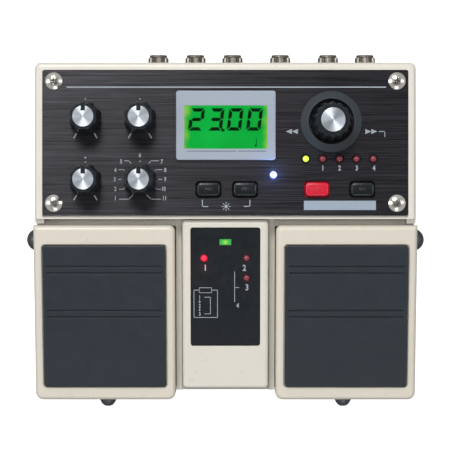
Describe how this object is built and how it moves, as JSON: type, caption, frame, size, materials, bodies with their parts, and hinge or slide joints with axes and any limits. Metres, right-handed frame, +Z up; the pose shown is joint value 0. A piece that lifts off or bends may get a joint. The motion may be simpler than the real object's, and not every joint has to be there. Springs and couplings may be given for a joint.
{
  "type": "delay pedal",
  "caption": "Desktop delay effect with a raised control box, display, knobs and buttons behind sprung foot pedals, and plug sockets along the rear wall.",
  "frame": {"origin": "centre of the bounding box in plan, on the surface that the rubber sheet rests on", "axes": "+Z up, +Y to the rear where the plug sockets are, +X to the right as the user stands in front"},
  "size_m": [0.1818, 0.1624, 0.057],
  "materials": {
    "cream_cast": "satin",
    "panel_dark": "satin",
    "steel_zinc": "satin",
    "ground_rubber": "matte",
    "tread_rubber": "matte",
    "nickel": "gloss",
    "cap_aluminium": "satin",
    "knob_black": "matte",
    "ring_black": "matte",
    "button_black": "matte",
    "button_red": "satin",
    "bezel_grey": "satin",
    "display_green": "gloss",
    "clear_window": "gloss",
    "board_green": "satin",
    "part_black": "matte",
    "label_dark": "satin",
    "lamp_green": "gloss",
    "lamp_blue": "gloss",
    "lamp_red": "gloss",
    "screw_dark": "satin",
    "cell_jacket": "satin",
    "dark_plastic": "matte",
    "spring_steel": "satin"
  },
  "bodies": {
    "housing": {"chassis": "cream_cast", "centre_cover": "cream_cast", "base_plate": "steel_zinc", "base_sheet": "ground_rubber", "base_screws": "nickel", "panel_plate": "panel_dark", "panel_screws": "nickel", "control_board": "board_green", "main_board": "board_green", "centre_board": "board_green", "rotary_bodies": "part_black", "encoder_body": "part_black", "tact_switches": "part_black", "foot_switches": "part_black", "green_lamp": "lamp_green", "blue_lamp": "lamp_blue", "red_lamps": "lamp_red", "power_lamp": "lamp_green", "display_bezel": "bezel_grey", "display_lens": "clear_window", "display_module": "display_green", "jack_bodies": "part_black", "jack_washers": "nickel", "jack_nuts": "nickel", "power_inlet": "part_black", "power_switch_body": "part_black", "label_plate": "label_dark", "hinge_rods": "screw_dark", "battery_holders": "dark_plastic", "battery_cells": "cell_jacket", "left_spring": "spring_steel", "right_spring": "spring_steel", "time_ring": "ring_black"},
    "left_pedal_body": {"left_pedal": "cream_cast", "left_tread": "tread_rubber"},
    "right_pedal_body": {"right_pedal": "cream_cast", "right_tread": "tread_rubber"},
    "left_thumbscrew_body": {"left_thumbscrew": "screw_dark"},
    "right_thumbscrew_body": {"right_thumbscrew": "screw_dark"},
    "time_push_body": {"time_plunger": "dark_plastic"},
    "time_turn_body": {"time_knob": "knob_black", "time_cap": "cap_aluminium", "time_shaft": "cap_aluminium"},
    "tap_button_body": {"tap_button": "button_black"},
    "tempo_button_body": {"tempo_button": "button_black"},
    "store_button_body": {"store_button": "button_red"},
    "select_button_body": {"select_button": "button_black"},
    "power_slider_body": {"power_slider": "dark_plastic"},
    "level_knob_body": {"level_knob": "knob_black", "level_cap": "cap_aluminium", "level_shaft": "cap_aluminium"},
    "feedback_knob_body": {"feedback_knob": "knob_black", "feedback_cap": "cap_aluminium", "feedback_shaft": "cap_aluminium"},
    "tone_knob_body": {"tone_knob": "knob_black", "tone_cap": "cap_aluminium", "tone_shaft": "cap_aluminium"},
    "mode_knob_body": {"mode_knob": "knob_black", "mode_cap": "cap_aluminium", "mode_shaft": "cap_aluminium"}
  },
  "joints": [
    {"name": "left_pedal_hinge", "type": "hinge", "parent": "housing", "child": "left_pedal_body", "pos_m": [-0.05445, -0.0036, 0.026], "axis": [1, 0, 0], "range_deg": [0, 3], "stiffness_Nm_per_rad": 1, "springref_deg": -11.46, "deforming": ["left_spring"]},
    {"name": "left_thumbscrew_turn", "type": "hinge", "parent": "housing", "child": "left_thumbscrew_body", "pos_m": [-0.0547, -0.0775, 0.011], "axis": [0, -1, 0], "continuous": true},
    {"name": "right_pedal_hinge", "type": "hinge", "parent": "housing", "child": "right_pedal_body", "pos_m": [0.05445, -0.0036, 0.026], "axis": [1, 0, 0], "range_deg": [0, 3], "stiffness_Nm_per_rad": 1, "springref_deg": -11.46, "deforming": ["right_spring"]},
    {"name": "right_thumbscrew_turn", "type": "hinge", "parent": "housing", "child": "right_thumbscrew_body", "pos_m": [0.0547, -0.0775, 0.011], "axis": [0, -1, 0], "continuous": true},
    {"name": "level_turn", "type": "hinge", "parent": "housing", "child": "level_knob_body", "pos_m": [-0.0631, 0.05135, 0.0401], "axis": [0, 0, -1], "range_deg": [-150, 150]},
    {"name": "feedback_turn", "type": "hinge", "parent": "housing", "child": "feedback_knob_body", "pos_m": [-0.0385, 0.05135, 0.0401], "axis": [0, 0, -1], "range_deg": [-150, 150]},
    {"name": "tone_turn", "type": "hinge", "parent": "housing", "child": "tone_knob_body", "pos_m": [-0.0631, 0.02345, 0.0401], "axis": [0, 0, -1], "range_deg": [-150, 150]},
    {"name": "mode_turn", "type": "hinge", "parent": "housing", "child": "mode_knob_body", "pos_m": [-0.0385, 0.02345, 0.0401], "axis": [0, 0, -1], "range_deg": [-150, 150]},
    {"name": "time_press", "type": "slide", "parent": "housing", "child": "time_push_body", "axis": [0, 0, -1], "range_m": [0, 0.0008], "stiffness_N_per_m": 1500, "springref_m": -0.001},
    {"name": "time_turn", "type": "hinge", "parent": "time_push_body", "child": "time_turn_body", "pos_m": [0.0477, 0.04965, 0.0409], "axis": [0, 0, -1], "continuous": true},
    {"name": "tap_press", "type": "slide", "parent": "housing", "child": "tap_button_body", "axis": [0, 0, -1], "range_m": [0, 0.0006], "stiffness_N_per_m": 1500, "springref_m": -0.0008},
    {"name": "tempo_press", "type": "slide", "parent": "housing", "child": "tempo_button_body", "axis": [0, 0, -1], "range_m": [0, 0.0006], "stiffness_N_per_m": 1500, "springref_m": -0.0008},
    {"name": "store_press", "type": "slide", "parent": "housing", "child": "store_button_body", "axis": [0, 0, -1], "range_m": [0, 0.0006], "stiffness_N_per_m": 1500, "springref_m": -0.0008},
    {"name": "select_press", "type": "slide", "parent": "housing", "child": "select_button_body", "axis": [0, 0, -1], "range_m": [0, 0.0006], "stiffness_N_per_m": 1500, "springref_m": -0.0008},
    {"name": "power_slide", "type": "slide", "parent": "housing", "child": "power_slider_body", "axis": [-1, 0, 0], "range_m": [0, 0.0035]}
  ]
}
